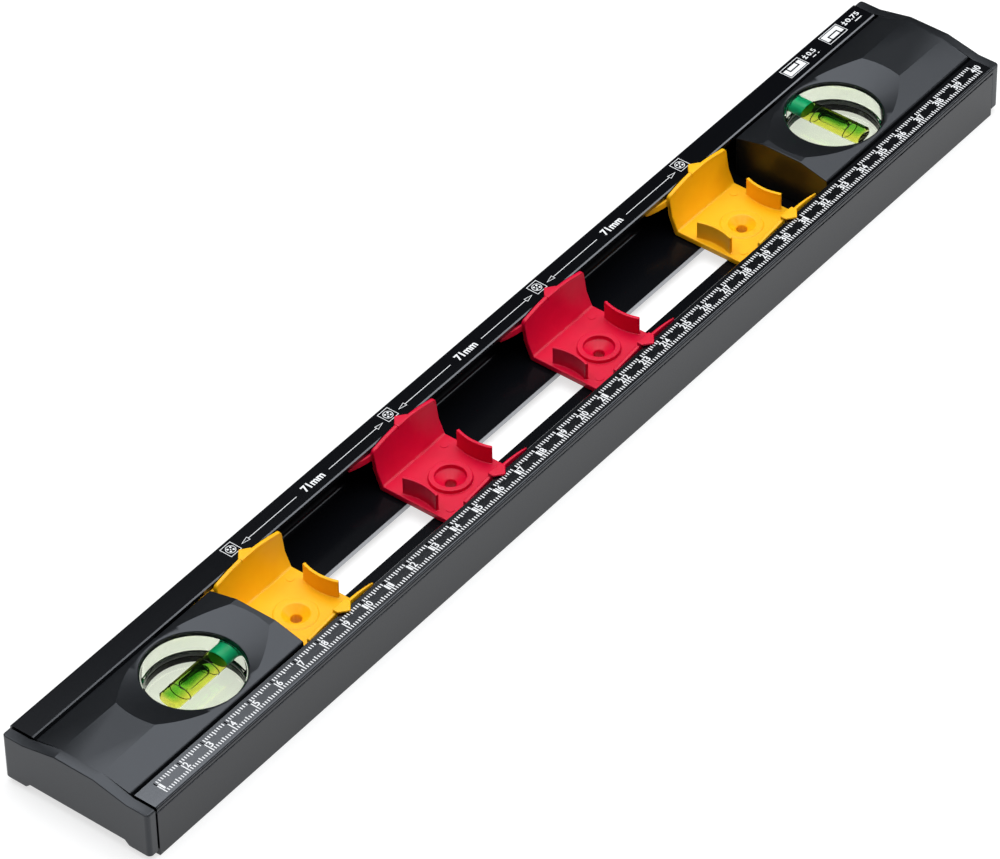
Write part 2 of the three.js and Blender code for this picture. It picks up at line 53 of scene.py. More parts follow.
RAIL_CORNER = 0.3
COVE_RADIUS = 2
GROOVE_LOW = 16.5
GROOVE_TOP = 17.2
GROOVE_DEPTH = 0.45
GROOVE_SLOPE = 0.15
WEB_LOW = 2
WEB_TOP = 4
FOOT_WIDTH = 8
FOOT_CHAMFER = 0.2
FOOT_RADIUS = 0.3
SLOT_HALF_LENGTH = 116
SLOT_HALF_WIDTH = 4.9
WINDOW_X = 152.8
LIGHT_HOLE_RADIUS = 14.7
CHANNEL_BEVEL = 0.12
DIE_LINE_DEPTH = 0.002


def linear(colour):
    """sRGB hex colour as linear RGBA."""
    parts = [int(colour[i:i + 2], 16) / 255 for i in (0, 2, 4)]
    return [c / 12.92 if c <= 0.04045 else ((c + 0.055) / 1.055) ** 2.4 for c in parts] + [1.0]


def add(tree, kind, settings={}, links={}):
    """Adds a node. A setting named like one of its properties goes there, any other to that input."""
    node = tree.nodes.new(kind)
    for key, value in settings.items():
        if isinstance(key, str) and hasattr(node, key):
            setattr(node, key, value)
        else:
            node.inputs[key].default_value = value
    for key, source in links.items():
        tree.links.new(source, node.inputs[key])
    return node


def new_material(name):
    made = bpy.data.materials.new(name)
    made.use_nodes = True
    made.node_tree.nodes.clear()
    return made, made.node_tree


def surface(tree, kind, settings, links):
    """Gives the material a surface of that kind."""
    shader = add(tree, kind, settings, links)
    add(tree, "ShaderNodeOutputMaterial", {}, {"Surface": shader.outputs[0]})


def noise(tree, place, scale, detail=2, roughness=0.5):
    """Noise with scale waves to the metre."""
    return add(tree, "ShaderNodeTexNoise", {"Scale": scale, "Detail": detail, "Roughness": roughness},
               {"Vector": place}).outputs["Fac"]


def stretched(tree, place, scale):
    return add(tree, "ShaderNodeMapping", {"Scale": scale}, {"Vector": place}).outputs[0]


def ranged(tree, value, low, high, start=0, end=1):
    """Turns start to end of a value into low to high."""
    return add(tree, "ShaderNodeMapRange",
               {"From Min": start, "From Max": end, "To Min": low, "To Max": high},
               {"Value": value}).outputs[0]


def bumped(tree, height, strength, depth):
    """Normal of a relief that is depth millimetres high."""
    return add(tree, "ShaderNodeBump", {"Strength": strength, "Distance": depth * MM},
               {"Height": height}).outputs[0]


def anodised_aluminium(name, colour, roughness, specular):
    """Etched and dyed extrusion: dark satin skin, faintly blue in its sheen, with die lines along it."""
    made, tree = new_material(name)
    place = add(tree, "ShaderNodeTexCoord").outputs["Object"]
    # A fine etched grain, and die lines about 1 mm apart, coarser than the real ones so that they show.
    etched = noise(tree, stretched(tree, place, (6, 1, 1)), 2400)
    lines = noise(tree, stretched(tree, place, (0.01, 1, 1)), 900, 3)
    relief = add(tree, "ShaderNodeMath", {"operation": "MULTIPLY_ADD", 1: 0.35},
                 {0: etched, 2: lines}).outputs[0]
    surface(tree, "ShaderNodeBsdfPrincipled",
            {"Base Color": linear(colour), "Specular IOR Level": specular,
             "Specular Tint": linear("E8EEF8")},
            {"Roughness": ranged(tree, relief, roughness - 0.03, roughness + 0.03, 0, 1.35),
             "Normal": bumped(tree, relief, 0.25, DIE_LINE_DEPTH)})
    return made


def milled_aluminium():
    """Bare milled edge: bright metal with cutter marks across its thickness."""
    made, tree = new_material("milled_aluminium")
    place = add(tree, "ShaderNodeTexCoord").outputs["Object"]
    # Cutter marks about 0.5 mm apart.
    cuts = noise(tree, stretched(tree, place, (1, 1, 0.05)), 2000)
    surface(tree, "ShaderNodeBsdfPrincipled", {"Base Color": linear("A2A4A8"), "Metallic": 1},
            {"Roughness": ranged(tree, cuts, 0.32, 0.5), "Normal": bumped(tree, cuts, 0.3, 0.02)})
    return made


# Lit and shaded copies of one anodising: more reflection is partly painted sheen, less is painted shade.
RAIL_ANODISED = anodised_aluminium("anodised_aluminium_rail", "0A0B0E", 0.14, 0.38)
RULER_ANODISED = anodised_aluminium("anodised_aluminium_ruler", "08090C", 0.14, 1)
PAINTED_SHADE_ANODISED = anodised_aluminium("anodised_aluminium_painted_shade", "090A0D", 0.17, 0.1)
BARE_ALUMINIUM = milled_aluminium()


def arc(y, z, radius, start, end, steps=8):
    """Points on an arc, with its angles in degrees."""
    turns = [math.radians(start + (end - start) * i / steps) for i in range(steps + 1)]
    return [(y + radius * math.cos(t), z + radius * math.sin(t)) for t in turns]


def prism(outline, low, high, axes):
    """Closed solid from an outline. axes names the outline's two directions and its depth: "yzx"."""
    bm = bmesh.new()
    ends = []
    for depth in (low, high):
        places = [dict(zip(axes, (u, v, depth))) for u, v in outline]
        ends.append([bm.verts.new([place[axis] * MM for axis in "xyz"]) for place in places])
    bm.faces.new(ends[0])
    bm.faces.new(ends[1])
    for i in range(len(outline)):
        j = (i + 1) % len(outline)
        bm.faces.new((ends[0][i], ends[0][j], ends[1][j], ends[1][i]))
    bmesh.ops.recalc_face_normals(bm, faces=bm.faces)
    return bm


def as_object(name, bm):
    mesh = bpy.data.meshes.new(name)
    bm.to_mesh(mesh)
    bm.free()
    made = bpy.data.objects.new(name, mesh)
    bpy.context.scene.collection.objects.link(made)
    return made


def settle(piece):
    """Turns the piece's modifiers into plain mesh."""
    old = piece.data
    solved = piece.evaluated_get(bpy.context.evaluated_depsgraph_get())
    piece.data = bpy.data.meshes.new_from_object(solved)
    piece.modifiers.clear()
    bpy.data.meshes.remove(old)


def cut(piece, plan):
    """Cuts an opening of that plan through the web."""
    cutter = as_object("cutter", prism(plan, WEB_LOW - 3, WEB_TOP + 2, "xyz"))
    taken = piece.modifiers.new("cut", "BOOLEAN")
    taken.operation = "DIFFERENCE"
    taken.solver = "EXACT"
    taken.object = cutter
    settle(piece)
    bpy.data.objects.remove(cutter)


def round_edges(piece, radius, limit):
    """Rounds every edge that turns by more than limit degrees."""
    rounding = piece.modifiers.new("rounding", "BEVEL")
    rounding.width = radius * MM
    rounding.segments = 2
    rounding.limit_method = "ANGLE"
    rounding.angle_limit = math.radians(limit)
    rounding.use_clamp_overlap = False
    settle(piece)


def smooth(piece):
    piece.data.polygons.foreach_set("use_smooth", [True] * len(piece.data.polygons))


def shade(piece):
    """Smooth shading that keeps edges sharper than 40 degrees crisp."""
    smooth(piece)
    piece.data.set_sharp_from_angle(angle=math.radians(40))


def level_faces(piece):
    """Gives each vertex the normal of its largest face, so that flats stay flat up to their edges."""
    flat = piece.modifiers.new("flat", "WEIGHTED_NORMAL")
    flat.keep_sharp = True
    settle(piece)


def channel_half():
    """Half of the section, at negative y: foot, rail with sight groove, bevelled flange, cove, web."""
    outer = -HALF_WIDTH
    foot = outer + FOOT_WIDTH
    groove = outer + GROOVE_DEPTH
    inner = outer + RAIL_WALL
    points = [(foot, WEB_LOW), (foot, FOOT_CHAMFER), (foot - FOOT_CHAMFER, 0)]
    points += arc(outer + FOOT_RADIUS, FOOT_RADIUS, FOOT_RADIUS, -90, -180, 4)
    points += [(outer, GROOVE_LOW), (groove, GROOVE_LOW + GROOVE_SLOPE)]
    points += [(groove, GROOVE_TOP - GROOVE_SLOPE), (outer, GROOVE_TOP)]
    points += arc(outer + RAIL_RADIUS, HEIGHT - RAIL_RADIUS, RAIL_RADIUS, 180, 90)
    points += [(-FLANGE_EDGE - FLANGE_CHAMFER, HEIGHT), (-FLANGE_EDGE, HEIGHT - FLANGE_CHAMFER)]
    points += [(-FLANGE_EDGE, FLANGE_UNDERSIDE), (inner + RAIL_CORNER, FLANGE_UNDERSIDE)]
    points += [(inner, FLANGE_UNDERSIDE - RAIL_CORNER)]
    points += arc(inner + COVE_RADIUS, WEB_TOP + COVE_RADIUS, COVE_RADIUS, 180, 270)
    return points


half = channel_half()
outline = half + [(-y, z) for y, z in reversed(half)]
channel = as_object("channel", prism(outline, -LENGTH / 2, LENGTH / 2, "yzx"))
run = SLOT_HALF_LENGTH - SLOT_HALF_WIDTH
cut(channel, arc(run, 0, SLOT_HALF_WIDTH, -90, 90, 24) + arc(-run, 0, SLOT_HALF_WIDTH, 90, 270, 24))
for x in (-WINDOW_X, WINDOW_X):
    cut(channel, arc(x, 0, LIGHT_HOLE_RADIUS, 0, 360, 96)[:-1])
FINISHES = (RAIL_ANODISED, RULER_ANODISED, BARE_ALUMINIUM, PAINTED_SHADE_ANODISED)
for finish in FINISHES:
    channel.data.materials.append(finish)
# Painted shade: the rear flange, the channel's inside and the light holes' walls get the dull copy.
for face in channel.data.polygons:
    x, y, z = face.center / MM
    in_web = WEB_LOW < z < WEB_TOP and abs(y) < LIGHT_HOLE_RADIUS + 1 and abs(face.normal.z) < 0.5
    at_end = abs(face.normal.x) > 0.5
    if in_web and abs(face.normal.x) < 0.999 and abs(x) < LENGTH / 2 - 1:
        finish = BARE_ALUMINIUM if abs(x) < SLOT_HALF_LENGTH + 1 else PAINTED_SHADE_ANODISED
    elif z > HEIGHT - 0.01:
        finish = RULER_ANODISED if y < 0 else PAINTED_SHADE_ANODISED
    elif abs(y) < HALF_WIDTH - 1.9 and WEB_LOW < z < FLANGE_UNDERSIDE + 0.1 and not at_end:
        finish = PAINTED_SHADE_ANODISED
    else:
        finish = RAIL_ANODISED
    face.material_index = FINISHES.index(finish)
round_edges(channel, CHANNEL_BEVEL, 60)
shade(channel)
level_faces(channel)
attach(channel, "level")
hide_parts("profile")

# Ruler. White screen print on the front flange: a centimetre line right across, two rows of millimetre
# marks, and figures that stand astride each centimetre line.
PRINT_Z = HEIGHT + 0.015
ZERO_X = -203.5
MARK_WIDTH = 0.38
SHORT_MARK = 1.1
MIDDLE_MARK = 1.5
ROW_REAR_Y = -19.9
ROW_FRONT_Y = -25.05
FIRST_MARK = 10
LAST_MARK = 400
FIGURE_HEIGHT = 2.4
FIGURE_WIDTH = 1.35
FIGURE_WEIGHT = 0.018
ONE_WIDTH = 0.72
FIGURE_Y = -23.65
FIGURE_GAP = 0.45


def mixed(tree, share, first, second):
    """Colour between the first and the second, by share."""
    return add(tree, "ShaderNodeMix", {"data_type": "RGBA", 6: linear(first), 7: linear(second)},
               {0: share}).outputs[2]


def screen_print():
    """Screen-printed enamel: flat white, a little thin in places."""
    made, tree = new_material("screen_print_white")
    place = add(tree, "ShaderNodeTexCoord").outputs["Object"]
    # Pinholes of the print, about 0.25 mm.
    spots = noise(tree, place, 4000, 1)
    surface(tree, "ShaderNodeBsdfPrincipled", {"Roughness": 0.55},
            {"Base Color": mixed(tree, ranged(tree, spots, 0, 1, 0.3, 0.6), "C9CBCE", "F2F3F4")})
    return made


WHITE_PRINT = screen_print()


def graduation_tree():
    """Rows of marks: each one is a flat bar whose length follows its number."""
    tree = bpy.data.node_groups.new("graduation", "GeometryNodeTree")
    face = tree.interface
    for name, kind in (("Count", "Int"), ("Pitch", "Float"), ("Start", "Vector"), ("Width", "Float"),
                       ("Short", "Float"), ("Middle", "Float"), ("Long", "Float"), ("Ink", "Material")):
        face.new_socket(name, in_out="INPUT", socket_type="NodeSocket" + kind)
    face.new_socket("Marks", in_out="OUTPUT", socket_type="NodeSocketGeometry")
    given = add(tree, "NodeGroupInput").outputs
    step = add(tree, "ShaderNodeCombineXYZ", {}, {0: given["Pitch"]}).outputs[0]
    line = add(tree, "GeometryNodeMeshLine", {},
               {"Count": given["Count"], "Start Location": given["Start"], "Offset": step}).outputs[0]
    number = add(tree, "GeometryNodeInputIndex").outputs[0]
    reach = given["Short"]
    for period, length in ((5, given["Middle"]), (10, given["Long"])):
        rest = add(tree, "FunctionNodeIntegerMath", {"operation": "MODULO", 1: period}, {0: number})
        whole = add(tree, "FunctionNodeCompare", {"data_type": "INT", "operation": "EQUAL", 3: 0},
                    {2: rest.outputs[0]})
        reach = add(tree, "GeometryNodeSwitch", {"input_type": "FLOAT"},
                    {0: whole.outputs[0], 1: reach, 2: length}).outputs[0]
    half_reach = add(tree, "ShaderNodeMath", {"operation": "MULTIPLY", 1: 0.5}, {0: reach}).outputs[0]
    shift = add(tree, "ShaderNodeCombineXYZ", {}, {1: half_reach}).outputs[0]
    moved = add(tree, "GeometryNodeSetPosition", {}, {"Geometry": line, "Offset": shift}).outputs[0]
    bar = add(tree, "GeometryNodeMeshGrid",
              {"Size X": 1, "Size Y": 1, "Vertices X": 2, "Vertices Y": 2})
    size = add(tree, "ShaderNodeCombineXYZ", {2: 1}, {0: given["Width"], 1: reach}).outputs[0]
    bars = add(tree, "GeometryNodeInstanceOnPoints", {},
               {"Points": moved, "Instance": bar.outputs[0], "Scale": size}).outputs[0]
    real = add(tree, "GeometryNodeRealizeInstances", {}, {0: bars}).outputs[0]
    inked = add(tree, "GeometryNodeSetMaterial", {}, {"Geometry": real, "Material": given["Ink"]})
    add(tree, "NodeGroupOutput", {}, {0: inked.outputs[0]})
    return tree


GRADUATION = graduation_tree()


def marks(name, y, short, middle, long):
    """One row of marks along the flange, from y by their length."""
    piece = as_object(name, bmesh.new())
    made = piece.modifiers.new("marks", "NODES")
    made.node_group = GRADUATION
    start = ((ZERO_X + FIRST_MARK) * MM, y * MM, PRINT_Z * MM)
    given = {"Count": LAST_MARK - FIRST_MARK + 1, "Pitch": MM, "Start": start, "Width": MARK_WIDTH * MM,
             "Short": short * MM, "Middle": middle * MM, "Long": long * MM, "Ink": WHITE_PRINT}
    for item in GRADUATION.interface.items_tree:
        if item.in_out == "INPUT":
            made[item.identifier] = given[item.name]
    settle(piece)
    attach(piece, "level")


marks("ruler_marks_front", ROW_FRONT_Y, SHORT_MARK, MIDDLE_MARK, ROW_REAR_Y - ROW_FRONT_Y)
marks("ruler_marks_rear", ROW_REAR_Y, -SHORT_MARK, -MIDDLE_MARK, -MIDDLE_MARK)


def lettering(text, weight):
    """Flat text as a bmesh in text units, upright, with its left foot at the origin."""
    curve = bpy.data.curves.new("text", "FONT")
    curve.body = text
    curve.size = 1
    curve.offset = weight
    curve.resolution_u = 4
    holder = bpy.data.objects.new("text", curve)
    bpy.context.scene.collection.objects.link(holder)
    mesh = bpy.data.meshes.new_from_object(holder.evaluated_get(bpy.context.evaluated_depsgraph_get()))
    bpy.data.objects.remove(holder)
    bpy.data.curves.remove(curve)
    bm = bmesh.new()
    bm.from_mesh(mesh)
    bpy.data.meshes.remove(mesh)
    lowest = [min(v.co[axis] for v in bm.verts) for axis in (0, 1)]
    bmesh.ops.translate(bm, verts=bm.verts, vec=(-lowest[0], -lowest[1], 0))
    return bm


def pour(made, target):
    """Adds one bmesh to another and frees it."""
    part = bpy.data.meshes.new("part")
    made.to_mesh(part)
    made.free()
    target.from_mesh(part)
    bpy.data.meshes.remove(part)


def set_type(target, text, x, y, wide, high, weight=0.02):
    """Adds text to a print, wide by high millimetres, with its left foot at x, y."""
    bm = lettering(text, weight)
    extent = [max(v.co[axis] for v in bm.verts) for axis in (0, 1)]
    scale = Matrix.Diagonal((wide / extent[0] * MM, high / extent[1] * MM, MM, 1))
    bm.transform(Matrix.Translation((x * MM, y * MM, PRINT_Z * MM)) @ scale)
    flipped = [face for face in bm.faces if face.normal.z < 0]
    bmesh.ops.reverse_faces(bm, faces=flipped)
    pour(bm, target)


figures = bmesh.new()
for number in range(1, 41):
    at = ZERO_X + 10 * number
    digits = str(number)
    wide = ONE_WIDTH if digits[-1] == "1" else FIGURE_WIDTH
    set_type(figures, digits[-1], at + FIGURE_GAP, FIGURE_Y, wide, FIGURE_HEIGHT, FIGURE_WEIGHT)
    if len(digits) == 2:
        wide = ONE_WIDTH if digits[0] == "1" else FIGURE_WIDTH
        foot = at - FIGURE_GAP - wide
        set_type(figures, digits[0], foot, FIGURE_Y, wide, FIGURE_HEIGHT, FIGURE_WEIGHT)
ruler_figures = as_object("ruler_figures", figures)
ruler_figures.data.materials.append(WHITE_PRINT)
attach(ruler_figures, "level")

# Marks on the rear flange. The same white print: a wall socket over each marker's place, arrows with
# the 71 mm between sockets, and two small vial signs with their tolerance.
SOCKET_X = (-109.05, -37.5, 33.35, 104.45)
SOCKET_Y = 23.1
PLATE_HALF_LENGTH = 2.32
PLATE_HALF_WIDTH = 2.3
SOCKET_RADIUS = 1.62
SOCKET_HOLE = 0.36
HOLE_PLACE = 0.62
SCREW_RADIUS = 0.2
LINE = 0.21
ARROW_Y = SOCKET_Y - 1.04
ARROW_GAP = 3.5
HEAD_LENGTH = 3.2
HEAD_HALF = 0.82
SIGN_LENGTH = 9.3
SIGN_WIDTH = 4.85
TOLERANCE_Y = 22.35


def patch(bm, points):
    """Flat filled shape, facing up."""
    face = bm.faces.new([bm.verts.new((x * MM, y * MM, PRINT_Z * MM)) for x, y in points])
    face.normal_update()
    if face.normal.z < 0:
        face.normal_flip()


def ribbon(bm, points, width):
    """Outline of a convex closed shape, drawn width wide on its inner side."""
    centre = (sum(x for x, y in points) / len(points), sum(y for x, y in points) / len(points))
    inner = []
    for i, (x, y) in enumerate(points):
        before = Vector((x, y)) - Vector(points[i - 1])
        after = Vector(points[(i + 1) % len(points)]) - Vector((x, y))
        before.normalize()
        after.normalize()
        sides = []
        for way in (before, after):
            side = Vector((-way.y, way.x))
            if side.dot(Vector(centre) - Vector((x, y))) < 0:
                side.negate()
            sides.append(side)
        mitre = (sides[0] + sides[1]).normalized()
        inner.append(Vector((x, y)) + mitre * (width / max(0.3, mitre.dot(sides[0]))))
    for i in range(len(points)):
        j = (i + 1) % len(points)
        patch(bm, [points[i], points[j], tuple(inner[j]), tuple(inner[i])])


def rectangle(x0, y0, x1, y1):
    return [(x0, y0), (x1, y0), (x1, y1), (x0, y1)]


def disc(x, y, radius, steps=20):
    return arc(x, y, radius, 0, 360, steps)[:-1]


def socket_sign(bm, x):
    """Square plate with a round socket: four holes round a centre screw."""
    ribbon(bm, rectangle(x - PLATE_HALF_LENGTH, SOCKET_Y - PLATE_HALF_WIDTH,
                         x + PLATE_HALF_LENGTH, SOCKET_Y + PLATE_HALF_WIDTH), LINE)
    ribbon(bm, disc(x, SOCKET_Y, SOCKET_RADIUS, 28), LINE)
    for across, upward in ((-1, 1), (1, 1), (-1, -1), (1, -1)):
        patch(bm, disc(x + HOLE_PLACE * across, SOCKET_Y + HOLE_PLACE * upward, SOCKET_HOLE, 12))
    patch(bm, disc(x, SOCKET_Y, SCREW_RADIUS, 10))


def arrow(bm, tip, way, tail):
    """Open arrowhead at tip that points along way, with its line to tail."""
    back = tip - way * HEAD_LENGTH
    ribbon(bm, [(tip, ARROW_Y), (back, ARROW_Y + HEAD_HALF), (back, ARROW_Y - HEAD_HALF)], LINE * 0.85)
    patch(bm, rectangle(back, ARROW_Y - LINE / 2, tail, ARROW_Y + LINE / 2))


def vial_sign(bm, x, low, upright):
    """Framed level seen from its side: a filled body round its vial, in its upper or lower edge."""
    high = low + SIGN_WIDTH
    ribbon(bm, rectangle(x, low, x + SIGN_LENGTH, high), LINE)
    near, far = (low + 0.55, high - 1.1) if upright else (high - 0.55, low + 1.1)
    inner = near + (far - near) * 0.42
    shelf = inner + (far - inner) * 0.28
    body = ((0.6, 8.7, near, inner), (0.6, 2.2, inner, far), (7.1, 8.7, inner, far),
            (2.75, 6.55, shelf, far))
    for start, end, edge, other in body:
        patch(bm, rectangle(x + start, min(edge, other), x + end, max(edge, other)))


signs = bmesh.new()
for place in SOCKET_X:
    socket_sign(signs, place)
for left, right in zip(SOCKET_X, SOCKET_X[1:]):
    middle = (left + right) / 2
    arrow(signs, left + ARROW_GAP, -1, middle - 7.4)
    arrow(signs, right - ARROW_GAP, 1, middle + 7.2)
    set_type(signs, "71mm", middle - 4.25, SOCKET_Y - 2.2, 8.9, 2.75, 0.03)
vial_sign(signs, 158.75, 20.43, True)
set_type(signs, "\u00b1", 169.0, TOLERANCE_Y, 1.3, 2.1)
set_type(signs, "0.5", 171.0, TOLERANCE_Y, 3.6, 1.85)
patch(signs, rectangle(171.2, 21.1, 172.8, 21.4))
patch(signs, rectangle(173.8, 21.1, 174.5, 21.4))
vial_sign(signs, 179.45, 20.5, False)
set_type(signs, "\u00b1", 189.95, TOLERANCE_Y, 1.3, 2.1)
set_type(signs, "0.75", 191.7, TOLERANCE_Y, 6, 1.85)
patch(signs, rectangle(193.6, 21.05, 197, 21.4))
rear_print = as_object("rear_flange_print", signs)
rear_print.data.materials.append(WHITE_PRINT)
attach(rear_print, "level")

# End blocks. Each is one moulding in dark grey ABS, pressed into the channel's end: cap, ramped roof
# and dished window. The mould is finely spark-eroded, which gives a soft, slightly grainy sheen.
GRAIN = 0.3
MOULD_RADIUS = 0.3
LARGE_FACE = 3
SEAM_X = 200.7
CAP_SHELF = 18.1
CAP_DEPTH = 3.9
CAP_RISE = 2.2
CAP_EASE = 0.4


def eroded_abs():
    """Spark-eroded plastic: dark grey, with a fine even grain and slow changes of tone."""
    made, tree = new_material("abs_dark_grey")
    place = add(tree, "ShaderNodeTexCoord").outputs["Object"]
    fine = noise(tree, place, 1 / (GRAIN * MM), 3, 0.6)
    slow = noise(tree, place, 60)
    tone = add(tree, "ShaderNodeMath", {"operation": "MULTIPLY_ADD", 1: 0.5},
               {0: slow, 2: fine}).outputs[0]
    surface(tree, "ShaderNodeBsdfPrincipled", {"IOR": 1.55, "Specular Tint": linear("E8EEF8")},
            {"Base Color": mixed(tree, ranged(tree, tone, 0, 1, 0.4, 1.1), "0B0D0F", "111316"),
             "Roughness": ranged(tree, fine, 0.3, 0.37, 0.3, 0.7),
             "Normal": bumped(tree, fine, 0.35, 0.02)})
    return made


ABS = eroded_abs()


def ease_cap(bm):
    """Takes away the step of under 0.1 mm between roof and cap, and lets the cap fall more gently."""
    roof = [vert for vert in bm.verts if vert.co.z / MM > CAP_SHELF + 0.1]
    step = [vert for vert in roof if abs(abs(vert.co.x) / MM - SEAM_X) < 0.02]
    bmesh.ops.remove_doubles(bm, verts=step, dist=0.1 * MM)
    top = max(vert.co.z for vert in bm.verts)
    for vert in bm.verts:
        outward = max(0, abs(vert.co.x) / MM - LENGTH / 2) / CAP_DEPTH
        upward = max(0, vert.co.z / MM - CAP_SHELF) / CAP_RISE
        vert.co.z = min(top, vert.co.z + CAP_EASE * outward * upward * MM)


def moulding(name, node, shaped=None):
    """Copy of a CAD node with its edges rounded as a mould leaves them. Only edges between two large
    faces stay crisp."""
    bm = bmesh.new()
    bm.from_mesh(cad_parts[node].data)
    bmesh.ops.remove_doubles(bm, verts=bm.verts, dist=0.002 * MM)
    if shaped:
        shaped(bm)
    bmesh.ops.dissolve_limit(bm, angle_limit=math.radians(0.6), verts=bm.verts, edges=bm.edges)
    piece = as_object(name, bm)
    round_edges(piece, MOULD_RADIUS, 30)
    large = [face.area > LARGE_FACE * MM * MM for face in piece.data.polygons]
    seen = {}
    for face in piece.data.polygons:
        for key in face.edge_keys:
            seen.setdefault(key, []).append(face)
    for edge in piece.data.edges:
        faces = seen.get(edge.key, [])
        turn = faces[0].normal.angle(faces[1].normal, 0) if len(faces) == 2 else 0
        edge.use_edge_sharp = turn > math.radians(9) and all(large[face.index] for face in faces)
    smooth(piece)
    level_faces(piece)
    return piece


for side in ("left", "right"):
    block = moulding("moulded_end_" + side, "end_block_" + side, ease_cap)
    block.data.materials.append(ABS)
    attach(block, "level")
    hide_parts("end_block_" + side)

# Vials. A clear acrylic puck, bored across for the tube, filled with yellow-green spirit and closed
# with a green plug. The left one reads along the level, and the right one across it.
PUCK_RADIUS = 15.2
PUCK_LOW = 5.8
PUCK_TOP = 17.4
PUCK_EDGE = 0.3
TUBE_AXIS = 12.8
TUBE_RADIUS = 3.9
TUBE_END = -11.4
TUBE_ROUND = 0.9
PLUG_START = 9.9
PLUG_END = 14.9
PLUG_SLACK = 0.2
PLUG_EDGE = 0.3
RING_PLACE = 6.15
RING_WIDTH = 0.28
BUBBLE_HALF = 5.5
BUBBLE_RADIUS = 2.5
BUBBLE_RISE = 1.2


def clear_acrylic():
    """Cast acrylic, polished: clear, with soft edges that gather light."""
    made, tree = new_material("cast_acrylic")
    place = add(tree, "ShaderNodeTexCoord").outputs["Object"]
    # Slow waves of the polished face, a few millimetres long.
    waves = noise(tree, place, 180, 1)
    surface(tree, "ShaderNodeBsdfPrincipled",
            {"Base Color": linear("F5FBEA"), "Transmission Weight": 1, "Roughness": 0, "IOR": 1.49},
            {"Normal": bumped(tree, waves, 0.05, 0.1)})
    return made


def spirit():
    """Dyed spirit inside the acrylic, yellow where it is thin, with a painted shade that turns it
    greener over its top. The IOR is that of the step between the two, closer to 1 than the real 0.91, so
    that the tube's ends stay light."""
    made, tree = new_material("vial_spirit")
    place = add(tree, "ShaderNodeTexCoord").outputs["Object"]
    cloud = noise(tree, place, 120)
    height = add(tree, "ShaderNodeSeparateXYZ", {}, {0: place}).outputs["Z"]
    # Painted shade: greener towards the tube's top, in place of the block's dark walls seen through it.
    top = ranged(tree, height, 0, 1, (TUBE_AXIS + 1.9) * MM, (TUBE_AXIS + 4.2) * MM)
    green = add(tree, "ShaderNodeMath", {"operation": "MULTIPLY_ADD", "use_clamp": True, 1: 0.1},
                {0: cloud, 2: top}).outputs[0]
    shader = add(tree, "ShaderNodeBsdfGlass", {"Roughness": 0, "IOR": 0.95},
                 {"Color": mixed(tree, green, "FCF8B4", "5CC878")})
    depth = add(tree, "ShaderNodeVolumeAbsorption", {"Color": linear("F8F818"), "Density": 110})
    add(tree, "ShaderNodeOutputMaterial", {},
        {"Surface": shader.outputs[0], "Volume": depth.outputs[0]})
    return made


def air():
    """Air inside the spirit: clear below, painted dark green shade over its top, and a fine dark
    outline.
    """
    made, tree = new_material("vial_air_bubble")
    place = add(tree, "ShaderNodeTexCoord").outputs["Object"]
    height = add(tree, "ShaderNodeSeparateXYZ", {}, {0: place}).outputs["Z"]
    # Painted shade: dark green over the bubble's top, by height.
    top = ranged(tree, height, 0, 1, (TUBE_AXIS + 2.6) * MM, (TUBE_AXIS + 3.9) * MM)
    surface(tree, "ShaderNodeBsdfGlass", {"Roughness": 0, "IOR": 0.86},
            {"Color": mixed(tree, top, "FFFFFF", "1F9A58")})
    return made


def plug_plastic(name, colour, roughness):
    """Small moulded or printed part seen through the acrylic."""
    made, tree = new_material(name)
    place = add(tree, "ShaderNodeTexCoord").outputs["Object"]
    skin = noise(tree, place, 1500)
    surface(tree, "ShaderNodeBsdfPrincipled", {"Base Color": linear(colour), "Roughness": roughness},
            {"Normal": bumped(tree, skin, 0.2, 0.01)})
    return made


ACRYLIC = clear_acrylic()
SPIRIT = spirit()
AIR = air()
GREEN_PLUG = plug_plastic("polyethylene_green", "04D08E", 0.35)
BLACK_RING = plug_plastic("index_ring_black", "0A0A0A", 0.5)


def turned(name, points, steps, place):
    """Solid turned about Z from (radius, height) points, then placed. Without poles it is a ring."""
    bm = bmesh.new()
    turns = [2 * math.pi * i / steps for i in range(steps)]
    rings = []
    for radius, height in points:
        around = turns if radius > 0 else [0]
        rings.append([bm.verts.new((radius * math.cos(t) * MM, radius * math.sin(t) * MM, height * MM))
                      for t in around])
    loops = list(zip(rings, rings[1:]))
    if points[0][0] > 0:
        loops.append((rings[-1], rings[0]))
    for low, high in loops:
        for i in range(steps):
            j = (i + 1) % steps
            corners = [low[i % len(low)], low[j % len(low)], high[j % len(high)], high[i % len(high)]]
            bm.faces.new(list(dict.fromkeys(corners)))
    bmesh.ops.recalc_face_normals(bm, faces=bm.faces)
    bm.transform(place)
    piece = as_object(name, bm)
    shade(piece)
    return piece


def capsule(radius, half_length):
    """Half outline of a round-ended bar, from pole to pole."""
    low = arc(0, radius - half_length, radius, -90, 0, 10)
    high = arc(0, half_length - radius, radius, 0, 90, 10)
    return [(0, -half_length)] + low[1:] + high[:-1] + [(0, half_length)]


